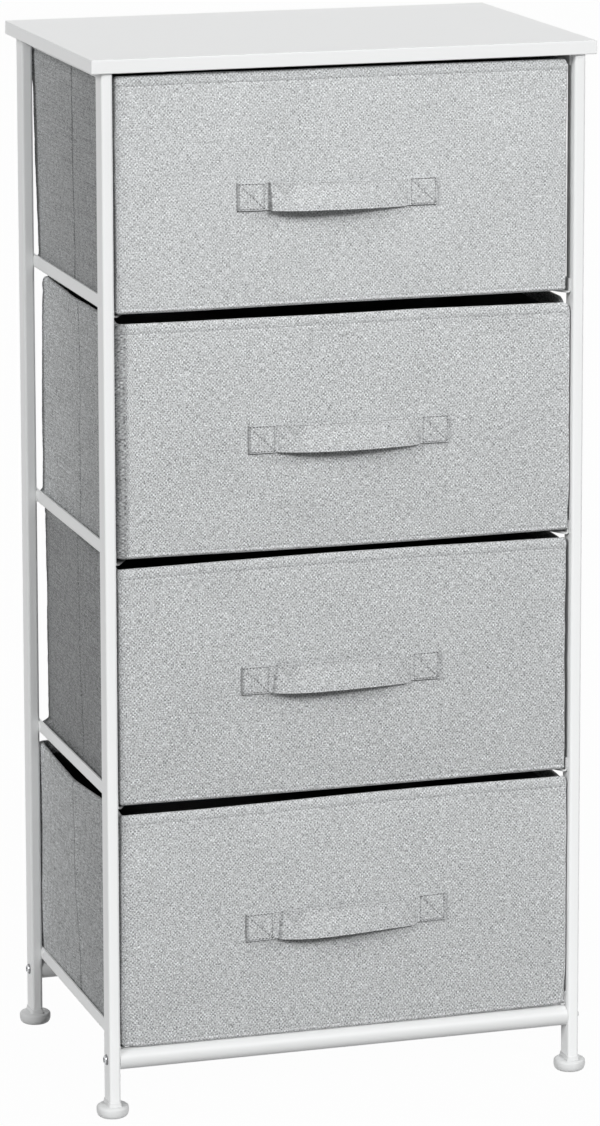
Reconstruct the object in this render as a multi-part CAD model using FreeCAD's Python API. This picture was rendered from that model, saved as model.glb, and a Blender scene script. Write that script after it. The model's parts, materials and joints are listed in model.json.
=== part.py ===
import FreeCAD, Part
import math
import os

# Fabric drawer tower: a welded steel frame with a laminated top, four sewn fabric bins
# that slide on angle rails, two screwed crossbars and four push-in glides.
# Millimetres.  X runs to the right, Y to the back, Z up, and the origin is on the floor
# under the middle of the top.

# ---- Overall ---------------------------------------------------------------------------
OVERALL_HEIGHT = 925.0
DRAWER_COUNT = 4

# ---- Laminated top ---------------------------------------------------------------------
TOP_WIDTH = 450.0
TOP_DEPTH = 300.0
TOP_THICKNESS = 12.0
TOP_EDGE_CHAMFER = 0.8

# ---- Posts: rectangular steel tube -----------------------------------------------------
POST_WIDTH = 10.0
POST_DEPTH = 20.0
POST_WALL = 1.0
POST_CORNER_RADIUS = 2.4
POST_BORE_CHAMFER = 1.0
POST_INSET_SIDE = 9.0
POST_INSET_FRONT = 3.0

# ---- Glides under the posts ------------------------------------------------------------
GLIDE_HEIGHT = 14.0
GLIDE_RADIUS = 14.2
GLIDE_BASE_RADIUS = 12.0
GLIDE_RIM_RADIUS = 13.8
GLIDE_RIM_HEIGHT = 2.6
GLIDE_BULGE_HEIGHT = 6.0
GLIDE_SHOULDER_RADIUS = 12.6
GLIDE_SHOULDER_DROP = 2.8
GLIDE_COLLAR_RADIUS = 11.4
GLIDE_COLLAR_HEIGHT = 0.9
PLUG_LENGTH = 18.0
PLUG_GAP = 0.05
PLUG_RIB_COUNT = 4
PLUG_RIB_THICKNESS = 1.4
PLUG_RIB_HEIGHT = 0.8

# ---- Angle rails that carry the bins ---------------------------------------------------
LOWEST_RAIL_Z = 60.5
RAIL_WEB = 12.5
RAIL_FLANGE = 16.0
SHEET = 1.5
BEND_RADIUS = 1.0
RAIL_SETBACK = 7.0
RAIL_END_CUT_WIDTH = 12.0
RAIL_END_CUT_LENGTH = 20.0

# ---- Angle rails under the top ---------------------------------------------------------
TOP_RAIL_WEB = 10.0
TOP_RAIL_FLANGE = 15.0
TOP_SCREW_INSET_Y = 40.0
TOP_SCREW_RADIUS = 2.0
TOP_SCREW_HEAD_RADIUS = 3.9
TOP_SCREW_HEAD_HEIGHT = 1.8
TOP_SCREW_LENGTH = 10.0

# ---- Crossbars and their screws --------------------------------------------------------
CROSSBAR_RADIUS = 9.4
CROSSBAR_WALL = 1.0
CROSSBAR_Z = 50.8
INSERT_LENGTH = 22.0
INSERT_GAP = 0.05
SCREW_RADIUS = 3.0
SCREW_REACH = 16.0
SCREW_HEAD_RADIUS = 4.75
SCREW_HEAD_HEIGHT = 3.0
SCREW_SOCKET_RADIUS = 2.3
SCREW_SOCKET_DEPTH = 1.8
THREAD_GAP = 0.05
HOLE_GAP = 0.2

# ---- Fabric bins -----------------------------------------------------------------------
BIN_SIDE_GAP = 3.5
BIN_FRONT_RECESS = 5.0
BIN_SEAT_GAP = 0.3
BIN_HEADROOM = 6.7
BIN_TOP_GAP = 1.2
BIN_SIDE_DROP = 3.0
BIN_CORNER_RADIUS = 4.0
FABRIC = 1.0
STIFFENER = 2.5
POCKET_GAP = 0.15
LINING = 0.8
FOLD_GAP = 4.0
CREASE_WIDTH = 2.4
CREASE_DEPTH = 0.6
BASE_BOARD = 3.0
BASE_BOARD_GAP = 1.0

# ---- Strap handles ---------------------------------------------------------------------
STRAP_LENGTH = 180.0
STRAP_HEIGHT = 24.5
STRAP_PLY = 1.2
STRAP_BULGE = 5.4
STRAP_PATCH = 25.0
STRAP_DROP = 4.0

# ---- Places worked out from the sizes above --------------------------------------------
SIDES = {"left": -1, "right": 1}
ENDS = {"front": -1, "rear": 1}

TOP_UNDERSIDE = OVERALL_HEIGHT - TOP_THICKNESS
POST_OUTER_X = TOP_WIDTH / 2 - POST_INSET_SIDE
POST_INNER_X = POST_OUTER_X - POST_WIDTH
POST_MIDDLE_X = POST_OUTER_X - POST_WIDTH / 2
POST_FACE_Y = TOP_DEPTH / 2 - POST_INSET_FRONT
POST_MIDDLE_Y = POST_FACE_Y - POST_DEPTH / 2

BAY_HEIGHT = (TOP_UNDERSIDE - LOWEST_RAIL_Z - BIN_TOP_GAP + BIN_HEADROOM) / DRAWER_COUNT
BIN_FRONT_HEIGHT = BAY_HEIGHT - BIN_HEADROOM - SHEET - BIN_SEAT_GAP
BIN_SIDE_HEIGHT = BIN_FRONT_HEIGHT - BIN_SIDE_DROP
BIN_HALF_WIDTH = POST_INNER_X - BIN_SIDE_GAP
BIN_HALF_DEPTH = POST_FACE_Y - BIN_FRONT_RECESS
BIN_WALL = FABRIC + STIFFENER + 2 * POCKET_GAP + LINING


def box_between(low, high):
    """Box from its lowest to its highest corner."""
    low, high = FreeCAD.Vector(*low), FreeCAD.Vector(*high)
    size = high - low
    return Part.makeBox(size.x, size.y, size.z, low)


def upright_edges(solid):
    """Straight edges that stand along Z."""
    return [e for e in solid.Edges
            if len(e.Vertexes) == 2 and abs(e.tangentAt(e.FirstParameter).z) > 0.999]


def upright_bar(half_x, half_y, low_z, high_z, centre):
    """Upright bar with a rectangular section."""
    x, y = centre
    return box_between((x - half_x, y - half_y, low_z), (x + half_x, y + half_y, high_z))


def rounded(bar, radius):
    return bar.makeFillet(radius, upright_edges(bar))


def chamfered(bar, size):
    return bar.makeChamfer(size, upright_edges(bar))


def cylinder_along_x(radius, start_x, end_x, y, z):
    """Round bar along X."""
    return Part.makeCylinder(radius, abs(end_x - start_x), FreeCAD.Vector(min(start_x, end_x), y, z),
                             FreeCAD.Vector(1, 0, 0))


def mirrored_to(side, solid):
    """A solid made for the right side, carried over to the named side."""
    if side == "right":
        return solid
    return solid.mirror(FreeCAD.Vector(0, 0, 0), FreeCAD.Vector(1, 0, 0))


def rail_z(level):
    """Underside of the rails of a bay; bay 1 is at the top."""
    return LOWEST_RAIL_Z + (DRAWER_COUNT - level) * BAY_HEIGHT


def bin_floor_z(level):
    """Underside of the bin in a bay."""
    return rail_z(level) + SHEET + BIN_SEAT_GAP


# ---- Frame -----------------------------------------------------------------------------
def top_board():
    board = box_between((-TOP_WIDTH / 2, -TOP_DEPTH / 2, TOP_UNDERSIDE),
                        (TOP_WIDTH / 2, TOP_DEPTH / 2, OVERALL_HEIGHT))
    board = board.makeChamfer(TOP_EDGE_CHAMFER, board.Edges)
    pilot_depth = TOP_SCREW_LENGTH - SHEET
    for x, y in top_screw_places():
        pilot = Part.makeCylinder(TOP_SCREW_RADIUS + THREAD_GAP, pilot_depth + HOLE_GAP,
                                  FreeCAD.Vector(x, y, TOP_UNDERSIDE))
        board = board.cut(pilot)
    return board


def post(side, end):
    centre = (SIDES[side] * POST_MIDDLE_X, ENDS[end] * POST_MIDDLE_Y)
    outside = rounded(upright_bar(POST_WIDTH / 2, POST_DEPTH / 2, GLIDE_HEIGHT, TOP_UNDERSIDE, centre),
                      POST_CORNER_RADIUS)
    inside = chamfered(upright_bar(POST_WIDTH / 2 - POST_WALL, POST_DEPTH / 2 - POST_WALL,
                                   GLIDE_HEIGHT, TOP_UNDERSIDE, centre),
                       POST_BORE_CHAMFER)
    screw_hole = cylinder_along_x(SCREW_RADIUS + HOLE_GAP, centre[0] - POST_WIDTH,
                                  centre[0] + POST_WIDTH, centre[1], CROSSBAR_Z)
    return outside.cut(inside).cut(screw_hole)


def glide(side, end):
    """Round glide with a bulged rim, a collar and a ribbed plug that fills the post's end."""
    outline = [(0, 0), (GLIDE_BASE_RADIUS, 0), (GLIDE_RIM_RADIUS, GLIDE_RIM_HEIGHT),
               (GLIDE_RADIUS, GLIDE_BULGE_HEIGHT),
               (GLIDE_SHOULDER_RADIUS, GLIDE_HEIGHT - GLIDE_SHOULDER_DROP),
               (GLIDE_COLLAR_RADIUS, GLIDE_HEIGHT - GLIDE_COLLAR_HEIGHT),
               (GLIDE_COLLAR_RADIUS, GLIDE_HEIGHT), (0, GLIDE_HEIGHT)]
    corners = [FreeCAD.Vector(radius, 0, z) for radius, z in outline]
    disc = Part.Face(Part.makePolygon(corners + corners[:1])).revolve(
        FreeCAD.Vector(0, 0, 0), FreeCAD.Vector(0, 0, 1), 360)
    disc.translate(FreeCAD.Vector(SIDES[side] * POST_MIDDLE_X, ENDS[end] * POST_MIDDLE_Y, 0))
    return disc.fuse(glide_plug(side, end)).removeSplitter()


def glides():
    return Part.makeCompound([glide(side, end) for side in SIDES for end in ENDS])


def glide_plug(side, end):
    centre = (SIDES[side] * POST_MIDDLE_X, ENDS[end] * POST_MIDDLE_Y)
    half_x = POST_WIDTH / 2 - POST_WALL - PLUG_GAP
    half_y = POST_DEPTH / 2 - POST_WALL - PLUG_GAP
    plug = upright_bar(half_x - PLUG_RIB_HEIGHT, half_y - PLUG_RIB_HEIGHT,
                       GLIDE_HEIGHT, GLIDE_HEIGHT + PLUG_LENGTH, centre)
    rib_pitch = PLUG_LENGTH / PLUG_RIB_COUNT
    for index in range(PLUG_RIB_COUNT):
        rib_z = GLIDE_HEIGHT + (index + 1) * rib_pitch - PLUG_RIB_THICKNESS
        rib = upright_bar(half_x, half_y, rib_z, rib_z + PLUG_RIB_THICKNESS, centre)
        plug = plug.fuse(chamfered(rib, POST_BORE_CHAMFER))
    return plug.removeSplitter()


def angle_section(web, flange, direction):
    """Bent-sheet L section at Y = 0: the web stands at X = 0 and the flange runs towards -X.

    With direction 1 the web rises from the flange, and with -1 it hangs from it."""
    def at(x, z):
        return FreeCAD.Vector(-x, 0, direction * z)

    def bend(radius):
        middle = SHEET + BEND_RADIUS - radius * math.cos(math.pi / 4)
        start, stop = SHEET + BEND_RADIUS - radius, SHEET + BEND_RADIUS
        return Part.Arc(at(start, stop), at(middle, middle), at(stop, start)).toShape()

    turn = SHEET + BEND_RADIUS
    edges = [Part.makeLine(at(0, web), at(0, turn)), bend(turn),
             Part.makeLine(at(turn, 0), at(flange, 0)), Part.makeLine(at(flange, 0), at(flange, SHEET)),
             Part.makeLine(at(flange, SHEET), at(turn, SHEET)), bend(BEND_RADIUS),
             Part.makeLine(at(SHEET, turn), at(SHEET, web)), Part.makeLine(at(SHEET, web), at(0, web))]
    return Part.Face(Part.Wire(edges))


def angle_rail(side, web, flange, level_z, half_length, direction):
    """Angle rail against the inner faces of a side's posts, with its flange tapered at both ends."""
    section = angle_section(web, flange, direction)
    section.translate(FreeCAD.Vector(POST_INNER_X, -half_length, level_z))
    rail = section.extrude(FreeCAD.Vector(0, 2 * half_length, 0))
    tip_x = POST_INNER_X - flange
    for end in (-1, 1):
        corner = [FreeCAD.Vector(tip_x, end * half_length, level_z - SHEET * 2),
                  FreeCAD.Vector(tip_x + RAIL_END_CUT_WIDTH, end * half_length, level_z - SHEET * 2),
                  FreeCAD.Vector(tip_x, end * (half_length - RAIL_END_CUT_LENGTH), level_z - SHEET * 2)]
        wedge = Part.Face(Part.makePolygon(corner + corner[:1])).extrude(FreeCAD.Vector(0, 0, 4 * SHEET))
        rail = rail.cut(wedge)
    return mirrored_to(side, rail)


def drawer_rail(side, level):
    return angle_rail(side, RAIL_WEB, RAIL_FLANGE, rail_z(level), POST_FACE_Y - RAIL_SETBACK, 1)


def top_rail(side):
    rail = angle_rail("right", TOP_RAIL_WEB, TOP_RAIL_FLANGE, TOP_UNDERSIDE,
                      POST_FACE_Y - POST_DEPTH / 2, -1)
    for x, y in top_screw_places():
        rail = rail.cut(Part.makeCylinder(TOP_SCREW_RADIUS + HOLE_GAP, 4 * SHEET,
                                          FreeCAD.Vector(x, y, TOP_UNDERSIDE - 2 * SHEET)))
    return mirrored_to(side, rail)


def top_screw_places():
    """Axes of the screws that hold the top, in the middle of the top rails' flanges."""
    x = POST_INNER_X - (TOP_RAIL_FLANGE + SHEET + BEND_RADIUS) / 2
    y = POST_MIDDLE_Y - TOP_SCREW_INSET_Y
    return [(sx * x, sy * y) for sx in (-1, 1) for sy in (-1, 1)]


def top_screws():
    """Pan-head screws driven up through the top rails into the board."""
    head_top = TOP_UNDERSIDE - SHEET
    screws = []
    for x, y in top_screw_places():
        head = Part.makeCylinder(TOP_SCREW_HEAD_RADIUS, TOP_SCREW_HEAD_HEIGHT,
                                 FreeCAD.Vector(x, y, head_top - TOP_SCREW_HEAD_HEIGHT))
        shank = Part.makeCylinder(TOP_SCREW_RADIUS, TOP_SCREW_LENGTH, FreeCAD.Vector(x, y, head_top))
        screws.append(head.fuse(shank).removeSplitter())
    return Part.makeCompound(screws)


def crossbar(end):
    y = ENDS[end] * POST_MIDDLE_Y
    tube = cylinder_along_x(CROSSBAR_RADIUS, -POST_INNER_X, POST_INNER_X, y, CROSSBAR_Z)
    bore = cylinder_along_x(CROSSBAR_RADIUS - CROSSBAR_WALL, -POST_INNER_X, POST_INNER_X, y, CROSSBAR_Z)
    return tube.cut(bore)


def hexagon_along_x(corner_radius, start_x, length, y, z):
    """Six-sided bar along X; the radius reaches its corners."""
    corners = [FreeCAD.Vector(start_x, y + corner_radius * math.cos(math.pi / 3 * corner),
                              z + corner_radius * math.sin(math.pi / 3 * corner)) for corner in range(7)]
    return Part.Face(Part.makePolygon(corners)).extrude(FreeCAD.Vector(length, 0, 0))


def crossbar_inserts():
    """Long hexagonal nuts fixed in the ends of both crossbars."""
    corner_radius = CROSSBAR_RADIUS - CROSSBAR_WALL - INSERT_GAP
    inserts = []
    for side in SIDES:
        for end in ENDS.values():
            y = end * POST_MIDDLE_Y
            nut = hexagon_along_x(corner_radius, POST_INNER_X, -INSERT_LENGTH, y, CROSSBAR_Z)
            thread = cylinder_along_x(SCREW_RADIUS + THREAD_GAP, POST_INNER_X,
                                      POST_INNER_X - INSERT_LENGTH, y, CROSSBAR_Z)
            inserts.append(mirrored_to(side, nut.cut(thread)))
    return Part.makeCompound(inserts)


def crossbar_screws():
    return Part.makeCompound([crossbar_screw(side, end) for side in SIDES for end in ENDS])


def crossbar_screw(side, end):
    """Button-head socket screw through a post into the crossbar's long nut."""
    y = ENDS[end] * POST_MIDDLE_Y
    tip_x = POST_INNER_X - SCREW_REACH
    shank = cylinder_along_x(SCREW_RADIUS, tip_x, POST_OUTER_X, y, CROSSBAR_Z)
    dome_radius = (SCREW_HEAD_RADIUS ** 2 + SCREW_HEAD_HEIGHT ** 2) / (2 * SCREW_HEAD_HEIGHT)
    dome_centre = FreeCAD.Vector(POST_OUTER_X + SCREW_HEAD_HEIGHT - dome_radius, y, CROSSBAR_Z)
    head = Part.makeSphere(dome_radius, dome_centre).common(
        cylinder_along_x(SCREW_HEAD_RADIUS, POST_OUTER_X, POST_OUTER_X + SCREW_HEAD_HEIGHT, y, CROSSBAR_Z))
    socket = hexagon_along_x(SCREW_SOCKET_RADIUS, POST_OUTER_X + SCREW_HEAD_HEIGHT - SCREW_SOCKET_DEPTH,
                             SCREW_HEAD_HEIGHT, y, CROSSBAR_Z)
    return mirrored_to(side, shank.fuse(head).cut(socket).removeSplitter())


# ---- Bins: every piece is made with the bin's underside at Z = 0 -------------------------
def bin_block(inset, low_z):
    """Solid inside the bin's outline, drawn in from its outer faces and its top.

    The front wall stands higher than the others.  The outer corners are round, the inner
    side of the skin turns them with a flat of the same thickness, and the rest is square."""
    half_x, half_y = BIN_HALF_WIDTH - inset, BIN_HALF_DEPTH - inset
    high_z = BIN_FRONT_HEIGHT - FABRIC if inset else BIN_FRONT_HEIGHT
    block = upright_bar(half_x, half_y, low_z, high_z, (0.0, 0.0))
    if inset == 0:
        block = rounded(block, BIN_CORNER_RADIUS)
    elif inset == FABRIC:
        block = chamfered(block, (2 - math.sqrt(2)) * (BIN_CORNER_RADIUS - FABRIC))
    behind_front = box_between((-BIN_HALF_WIDTH, BIN_WALL - BIN_HALF_DEPTH, high_z - BIN_SIDE_DROP),
                               (BIN_HALF_WIDTH, BIN_HALF_DEPTH, BIN_FRONT_HEIGHT))
    return block.cut(behind_front)


def bin_room(floor):
    """Space inside the bin's walls, open upwards."""
    half_x, half_y = BIN_HALF_WIDTH - BIN_WALL, BIN_HALF_DEPTH - BIN_WALL
    return box_between((-half_x, -half_y, floor), (half_x, half_y, 2 * BIN_FRONT_HEIGHT))


def bin_cover():
    """Outer fabric: skin, floor and the hems that turn in over the stiffeners."""
    cover = bin_block(0, 0).cut(bin_block(FABRIC, FABRIC)).cut(bin_room(FABRIC))
    for side in SIDES.values():
        outer_x = side * BIN_HALF_WIDTH
        groove = [FreeCAD.Vector(outer_x, -CREASE_WIDTH / 2, 0), FreeCAD.Vector(outer_x, CREASE_WIDTH / 2, 0),
                  FreeCAD.Vector(outer_x - side * CREASE_DEPTH, 0, 0)]
        crease = Part.Face(Part.makePolygon(groove + groove[:1])).extrude(
            FreeCAD.Vector(0, 0, BIN_FRONT_HEIGHT))
        cover = cover.cut(crease)
    return cover


def bin_lining():
    """Inner fabric: a thin tray under the hems."""
    return bin_block(BIN_WALL - LINING, FABRIC).cut(bin_room(FABRIC + LINING))


def end_stiffener(end):
    """Board in the front or back wall's pocket."""
    top = {"front": BIN_FRONT_HEIGHT, "rear": BIN_SIDE_HEIGHT}[end] - FABRIC - POCKET_GAP
    half_x = BIN_HALF_WIDTH - BIN_CORNER_RADIUS
    outer_y = BIN_HALF_DEPTH - FABRIC - POCKET_GAP
    board = box_between((-half_x, outer_y - STIFFENER, FABRIC + POCKET_GAP), (half_x, outer_y, top))
    if end == "rear":
        return board
    return board.mirror(FreeCAD.Vector(0, 0, 0), FreeCAD.Vector(0, 1, 0))


def side_stiffeners():
    """Two half boards in each side wall, parted at the fold."""
    outer_x = BIN_HALF_WIDTH - FABRIC - POCKET_GAP
    far_y = BIN_HALF_DEPTH - BIN_WALL - POCKET_GAP
    half = box_between((outer_x - STIFFENER, FOLD_GAP / 2, FABRIC + POCKET_GAP),
                       (outer_x, far_y, BIN_SIDE_HEIGHT - FABRIC - POCKET_GAP))
    halves = [half, half.mirror(FreeCAD.Vector(0, 0, 0), FreeCAD.Vector(0, 1, 0))]
    return Part.makeCompound([mirrored_to(side, piece) for side in SIDES for piece in halves])


def base_board():
    """Loose board that lies on the lining's floor."""
    half_x = BIN_HALF_WIDTH - BIN_WALL - BASE_BOARD_GAP
    half_y = BIN_HALF_DEPTH - BIN_WALL - BASE_BOARD_GAP
    floor = FABRIC + LINING
    return box_between((-half_x, -half_y, floor), (half_x, half_y, floor + BASE_BOARD))


def strap_curve(depth):
    """Plan of one face of the strap's loop: two shallow S bends that meet at the middle.

    Each half is a hollow arc and a full arc of one radius, tangent to each other and to the ends."""
    half_loop = STRAP_LENGTH / 2 - STRAP_PATCH
    turn = 2 * math.atan(STRAP_BULGE / half_loop)
    radius = half_loop / 2 / math.sin(turn)
    root_y = -BIN_HALF_DEPTH - depth

    def hollow(angle):
        return FreeCAD.Vector(-half_loop + radius * math.sin(angle),
                              root_y - radius * (1 - math.cos(angle)), 0)

    def full(angle):
        return FreeCAD.Vector(radius * math.sin(angle),
                              root_y - STRAP_BULGE + radius * (1 - math.cos(angle)), 0)

    def opposite(point):
        return FreeCAD.Vector(-point.x, point.y, 0)

    first, last = hollow(0), opposite(hollow(0))
    arcs = [Part.Arc(first, hollow(turn / 2), hollow(turn)), Part.Arc(hollow(turn), full(0), full(turn)),
            Part.Arc(full(turn), opposite(hollow(turn / 2)), last)]
    return first, [arc.toShape() for arc in arcs], last


def strap_handle():
    """Strap whose ends are doubled and sewn flat, with a loop for the fingers between them."""
    inner_start, inner_arcs, inner_end = strap_curve(STRAP_PLY)
    outer_start, outer_arcs, outer_end = strap_curve(2 * STRAP_PLY)
    outline = [Part.makeLine(outer_start, inner_start)] + inner_arcs
    outline += [Part.makeLine(inner_end, outer_end)] + outer_arcs[::-1]
    face = Part.Face(Part.Wire(outline))
    low = (BIN_FRONT_HEIGHT - STRAP_HEIGHT) / 2 - STRAP_DROP
    face.translate(FreeCAD.Vector(0, 0, low))
    strap = face.extrude(FreeCAD.Vector(0, 0, STRAP_HEIGHT))
    for end in (-1, 1):
        tip, root = end * STRAP_LENGTH / 2, end * (STRAP_LENGTH / 2 - STRAP_PATCH)
        patch = box_between((min(tip, root), -BIN_HALF_DEPTH - 2 * STRAP_PLY, low),
                            (max(tip, root), -BIN_HALF_DEPTH, low + STRAP_HEIGHT))
        strap = strap.fuse(patch)
    return strap.removeSplitter()


# ---- Nodes -----------------------------------------------------------------------------
def frame_nodes():
    nodes = {"top_board": top_board(), "top_screws": top_screws(), "glides": glides(),
             "crossbar_inserts": crossbar_inserts(), "crossbar_screws": crossbar_screws()}
    for end in ENDS:
        nodes["crossbar_" + end] = crossbar(end)
    for side in SIDES:
        nodes["top_rail_" + side] = top_rail(side)
        for end in ENDS:
            nodes["post_%s_%s" % (end, side)] = post(side, end)
        for level in range(1, DRAWER_COUNT + 1):
            nodes["drawer_rail_%s_%d" % (side, level)] = drawer_rail(side, level)
    return nodes


def bin_pieces():
    return {"cover": bin_cover(), "lining": bin_lining(), "front_stiffener": end_stiffener("front"),
            "back_stiffener": end_stiffener("rear"), "side_stiffeners": side_stiffeners(),
            "base_board": base_board(), "strap_handle": strap_handle()}


def main():
    nodes = frame_nodes()
    pieces = bin_pieces()
    for level in range(1, DRAWER_COUNT + 1):
        for name, piece in pieces.items():
            placed = piece.translated(FreeCAD.Vector(0, 0, bin_floor_z(level)))
            nodes["drawer_%d_%s" % (level, name)] = placed
    os.makedirs("parts", exist_ok=True)
    for name, shape in nodes.items():
        shape.exportStep(os.path.join("parts", name + ".step"))
    print("%d nodes, bay %.2f mm, bin front %.2f mm" % (len(nodes), BAY_HEIGHT, BIN_FRONT_HEIGHT))


main()
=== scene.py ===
import json
import math

import bmesh
import bpy
import numpy as np
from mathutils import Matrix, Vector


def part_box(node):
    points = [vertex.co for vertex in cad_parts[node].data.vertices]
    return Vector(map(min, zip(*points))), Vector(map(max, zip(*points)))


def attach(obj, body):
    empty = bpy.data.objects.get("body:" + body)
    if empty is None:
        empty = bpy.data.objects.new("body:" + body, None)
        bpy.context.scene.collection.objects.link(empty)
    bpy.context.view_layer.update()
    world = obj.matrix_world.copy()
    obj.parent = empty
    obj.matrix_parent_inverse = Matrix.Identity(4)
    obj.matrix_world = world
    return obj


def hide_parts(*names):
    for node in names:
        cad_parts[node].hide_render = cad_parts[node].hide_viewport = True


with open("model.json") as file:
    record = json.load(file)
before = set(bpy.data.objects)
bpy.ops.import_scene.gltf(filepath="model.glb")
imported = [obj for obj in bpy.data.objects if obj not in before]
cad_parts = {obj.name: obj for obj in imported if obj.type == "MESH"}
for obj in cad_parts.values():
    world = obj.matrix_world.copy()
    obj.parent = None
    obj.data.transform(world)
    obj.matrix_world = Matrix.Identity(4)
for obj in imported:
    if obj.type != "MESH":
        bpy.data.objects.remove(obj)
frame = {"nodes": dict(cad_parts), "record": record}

# Fabric drawer tower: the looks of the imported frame, its top and its four sewn bins.
# Shapes are worked out in millimetres and meshes are made in metres.
# X runs to the right, Y to the back and Z up.

MM = 0.001
TURN = 2 * math.pi
BODY_OF_FRAME = "frame"
WELD = 2e-6
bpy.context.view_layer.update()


def node_box(node):
    low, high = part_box(node)
    return np.array(low) / MM, np.array(high) / MM


def smooth(value, start, end):
    t = np.clip((np.asarray(value, float) - start) / (end - start), 0, 1)
    return t * t * (3 - 2 * t)


def between(a, b, t):
    return a + (b - a) * t


def ridge(distance, width):
    return np.exp(-(np.asarray(distance, float) / width) ** 2)


# ---- Meshes ------------------------------------------------------------------------------
def link(mesh, name, material, slot, body, *replaced):
    piece = bpy.data.objects.new(name, mesh)
    bpy.context.scene.collection.objects.link(piece)
    mesh.materials.append(material)
    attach(piece, body)
    if replaced:
        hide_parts(*replaced)
    return piece


def grid_mesh(name, points, closed, maps=None, capped=False):
    """Quads between rows of points; closed joins each row's end to its start.

    maps holds UV layers as arrays of rows by columns, one column more where the rows close."""
    rows, columns = points.shape[:2]
    span = columns if closed else columns - 1
    r, c = np.meshgrid(np.arange(rows - 1), np.arange(span), indexing="ij")
    after = (c + 1) % columns
    quads = np.stack([r * columns + c, r * columns + after,
                      (r + 1) * columns + after, (r + 1) * columns + c], -1).reshape(-1, 4)
    mesh = bpy.data.meshes.new(name)
    mesh.vertices.add(rows * columns)
    mesh.vertices.foreach_set("co", (points.reshape(-1) * MM).astype(np.float32))
    mesh.loops.add(quads.size)
    mesh.loops.foreach_set("vertex_index", quads.reshape(-1).astype(np.int32))
    mesh.polygons.add(len(quads))
    mesh.polygons.foreach_set("loop_start", np.arange(0, quads.size, 4, dtype=np.int32))
    mesh.update(calc_edges=True)
    for layer_name, values in (maps or {}).items():
        layer = mesh.uv_layers.new(name=layer_name)
        corners = np.stack([values[r, c], values[r, c + 1],
                            values[r + 1, c + 1], values[r + 1, c]], 2)
        layer.data.foreach_set("uv", (corners.reshape(-1) * MM).astype(np.float32))
    tidy(mesh, capped)
    return mesh


def smooth_faces(work):
    bmesh.ops.recalc_face_normals(work, faces=work.faces)
    for face in work.faces:
        face.smooth = True


def tidy(mesh, capped=False):
    work = bmesh.new()
    work.from_mesh(mesh)
    bmesh.ops.remove_doubles(work, verts=work.verts, dist=WELD)
    bmesh.ops.dissolve_degenerate(work, edges=work.edges, dist=WELD / 2)
    if capped:
        bmesh.ops.holes_fill(work, edges=work.edges, sides=0)
    smooth_faces(work)
    work.to_mesh(mesh)
    work.free()
    mesh.update()


def mesh_of(work, name):
    """Ends a bmesh as a new mesh."""
    mesh = bpy.data.meshes.new(name)
    work.to_mesh(mesh)
    work.free()
    return mesh


def joined(name, parts):
    """One mesh from several closed grids of points."""
    work = bmesh.new()
    for index, part in enumerate(parts):
        piece = grid_mesh("%s_%d" % (name, index), part, True, capped=True)
        work.from_mesh(piece)
        bpy.data.meshes.remove(piece)
    return mesh_of(work, name)


def hex_share(angle):
    """Reach of a hexagon at an angle, as a share of the reach of its corners."""
    fold = (angle % (TURN / 6)) - TURN / 12
    return math.cos(TURN / 12) / np.cos(fold)


def revolve(profile, centre, axis, across, segments, hexagonal=0):
    """Rows of points for a profile of (radius, height) turned round an axis.

    The first hexagonal rows are six-sided."""
    axis, across = np.array(axis, float), np.array(across, float)
    third = np.cross(axis, across)
    angle = np.arange(segments) / segments * TURN
    rows = []
    for index, (radius, height) in enumerate(profile):
        reach = radius * (hex_share(angle) if index < hexagonal else 1)
        rows.append(np.array(centre) + np.outer(np.cos(angle) * reach, across)
                    + np.outer(np.sin(angle) * reach, third) + axis * height)
    return np.array(rows)


def ripple(seed, lengths, count):
    """Smooth noise in space: a sum of waves with fixed directions and phases."""
    dice = np.random.default_rng(seed)
    direction = dice.normal(size=(count, 3))
    direction /= np.linalg.norm(direction, axis=1)[:, None]
    wave = direction * (TURN / dice.uniform(lengths[0], lengths[1], count))[:, None]
    phase = dice.uniform(0, TURN, count)

    def value(points):
        return np.sin(points @ wave.T + phase).sum(-1) / math.sqrt(count / 2)
    return value


# ---- Materials ---------------------------------------------------------------------------
class Signal:
    """A node's output, which adds, scales and divides as a number does."""

    def __init__(self, nodes, socket):
        self.nodes = nodes
        self.socket = socket

    def op(self, operation, *others):
        return self.nodes.math(operation, self, *others)

    def __add__(self, other):
        return self.op("ADD", other)

    def __sub__(self, other):
        return self.op("SUBTRACT", other)

    def __rsub__(self, other):
        return self.nodes.math("SUBTRACT", other, self)

    def __mul__(self, other):
        return self.op("MULTIPLY", other)

    def __truediv__(self, other):
        return self.op("DIVIDE", other)

    def __abs__(self):
        return self.op("ABSOLUTE")

    __radd__ = __add__
    __rmul__ = __mul__


def clip(signal):
    """Holds the sum that was made last between 0 and 1."""
    signal.socket.node.use_clamp = True
    return signal


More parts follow.
